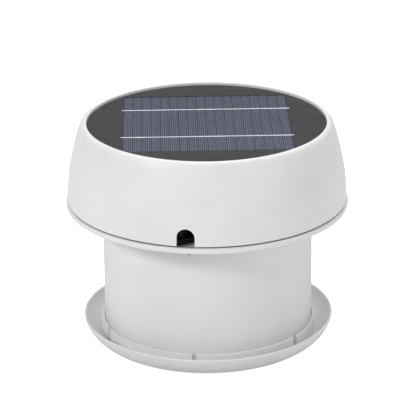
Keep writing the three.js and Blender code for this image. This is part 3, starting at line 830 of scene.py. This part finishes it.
def buildGuard():
    whole = bmesh.new()
    half, bottom, top = guard["ringHalf"], guard["bottom"], guard["ringTop"]
    for radius in guard["rings"]:
        ring = [(radius - half, bottom, 0.6), (radius + half, bottom, 0.6), (radius + half, top, 0.6),
                (radius - half, top, 0.6)]
        latheInto(whole, filleted(ring, True, 3), 96, closed=True)
    latheInto(whole, filleted(guard["rim"], True, 3), 160, closed=True)
    latheInto(whole, filleted(guard["centre"], False, 3), 64, closed=False)
    half = guard["spokeHalf"]
    near, far = guard["spokeReach"]
    spoke = bmesh.new()
    prismInto(spoke, [(half, -near), (-half, -near), (-half, -far), (half, -far)], *guard["spokeHeights"])
    softenInto(spoke, 0.45)
    spokes = repeated("guard_spokes", aroundZ, meshFrom("guard_spoke", spoke), looks["blackPlastic"],
                      guard["spokes"], math.radians(guard["turn"]), math.radians(360 / guard["spokes"]))
    whole.from_mesh(spokes)
    bpy.data.meshes.remove(spokes)
    finishPiece("finger_guard_moulding", meshFrom("finger_guard", whole), looks["blackPlastic"],
                "black_plastic", "ventilator", "finger_guard")


buildRotor()
buildGuard()
edgeRounding = {"fan_frame": 0.35, "junction_box": 0.5}  # millimetres
for node, width in edgeRounding.items():
    finishPiece(node + "_moulding", softCopy(node, width), looks["blackPlastic"], "black_plastic",
                "ventilator", node)
print("fan done")


# CAD nodes that stay, each with its finish.
kept = {
    "fan_lead": "cable",
    "panel_tape": "foam",
    "fan_bearing": "bronze",
    "fan_stator": "copper",
    "fan_circuit_board": "board",
    "fan_shaft": "steel",
    "magnet_ring": "ferrite",
}
for name, look in kept.items():
    node = nodes[name]
    if not node.material_slots:
        node.data.materials.append(looks[look])
    for place in node.material_slots:
        place.material = looks[look]
print("kept nodes", len(kept))


studio = {  # metres and degrees
    "cameraAt": (0.24846, -1.63133, 0.74136),  # 8.6 degrees to the right, 21.2 up, 1.77 from its aim
    "cameraAim": (0.00053, 0.00008, 0.10022),
    "cameraRoll": -0.5,
    "lens": 200.4,  # mm, on a 36 mm wide sensor
    "lampAim": (0, 0, 0.1),
    "lamps": [  # name, place, size, watts
        ("left_softbox", (-1.3, -1.75, 1.5), 0.6, 24),
        ("right_fill", (1.9, -1.0, 0.9), 0.9, 8),
        ("top_softbox", (0.0, 0.9, 1.9), 1.6, 22),
    ],
    "worldLight": (0.25, 0.52),  # at the horizon and overhead
    "worldSeen": 1.0,
    "floorSize": 12.0,
    "floorDrop": 0.0002,
    "floorShade": 0.84,
    "floorGlow": 0.8,  # what the camera sees; it lights nothing
}


def aimedAt(place, aim, roll=0.0):
    look = (Vector(aim) - Vector(place)).to_track_quat("-Z", "Y")
    return look @ Quaternion((0, 0, 1), math.radians(roll))


def buildCamera():
    lens = bpy.data.cameras.new("camera")
    lens.lens = studio["lens"]
    lens.sensor_width = 36
    lens.clip_end = 50
    camera = newObject("camera", lens)
    camera.location = studio["cameraAt"]
    camera.rotation_mode = "QUATERNION"
    camera.rotation_quaternion = aimedAt(studio["cameraAt"], studio["cameraAim"], studio["cameraRoll"])
    scene.camera = camera


def buildLamps():
    for name, place, size, watts in studio["lamps"]:
        lamp = bpy.data.lights.new(name, "AREA")
        lamp.shape = "DISK"
        lamp.size = size
        lamp.energy = watts
        stand = newObject(name, lamp)
        stand.location = place
        stand.rotation_mode = "QUATERNION"
        stand.rotation_quaternion = aimedAt(place, studio["lampAim"])


# A soft light from all round, brighter overhead. The camera sees plain white in its place.
def buildWorld():
    world = bpy.data.worlds.new("studio")
    world.use_nodes = True
    tree = world.node_tree
    tree.nodes.clear()
    white = (1, 1, 1, 1)
    horizon, overhead = studio["worldLight"]
    direction = addNode(tree, "ShaderNodeTexCoord").outputs["Generated"]
    up = addNode(tree, "ShaderNodeSeparateXYZ", None, {0: direction}).outputs["Z"]
    level = spread(tree, up, horizon, overhead, 0.0, 0.9)
    light = addNode(tree, "ShaderNodeBackground", {"Color": white}, {"Strength": level})
    seen = addNode(tree, "ShaderNodeBackground", {"Color": white, "Strength": studio["worldSeen"]})
    path = addNode(tree, "ShaderNodeLightPath")
    both = addNode(tree, "ShaderNodeMixShader", None,
                   {0: path.outputs["Is Camera Ray"], 1: light.outputs[0], 2: seen.outputs[0]})
    addNode(tree, "ShaderNodeOutputWorld", None, {"Surface": both.outputs[0]})
    scene.world = world


# Painted board. Its glow reaches the camera only, so it looks white and casts no light.
def buildFloor():
    half, level = studio["floorSize"] / 2, -studio["floorDrop"]
    bm = bmesh.new()
    corners = ((-half, -half), (half, -half), (half, half), (-half, half))
    bm.faces.new([bm.verts.new((x, y, level)) for x, y in corners])
    floor = newObject("floor", meshFrom("floor", bm))
    made, tree, place, shader = startMaterial("matt_white_studio_board")
    shade = studio["floorShade"]
    shader.inputs["Base Color"].default_value = (shade, shade, shade, 1)
    shader.inputs["Roughness"].default_value = 0.9
    shader.inputs["Specular IOR Level"].default_value = 0.1
    shader.inputs["Emission Color"].default_value = (1, 1, 1, 1)
    seenByCamera = addNode(tree, "ShaderNodeLightPath").outputs["Is Camera Ray"]
    glow = spread(tree, seenByCamera, 0.0, studio["floorGlow"], 0.0, 1.0)
    tree.links.new(glow, shader.inputs["Emission Strength"])
    floor.data.materials.append(made)


buildCamera()
buildLamps()
buildWorld()
buildFloor()
scene.view_settings.view_transform = "Standard"
scene.view_settings.look = "None"
print("studio done")
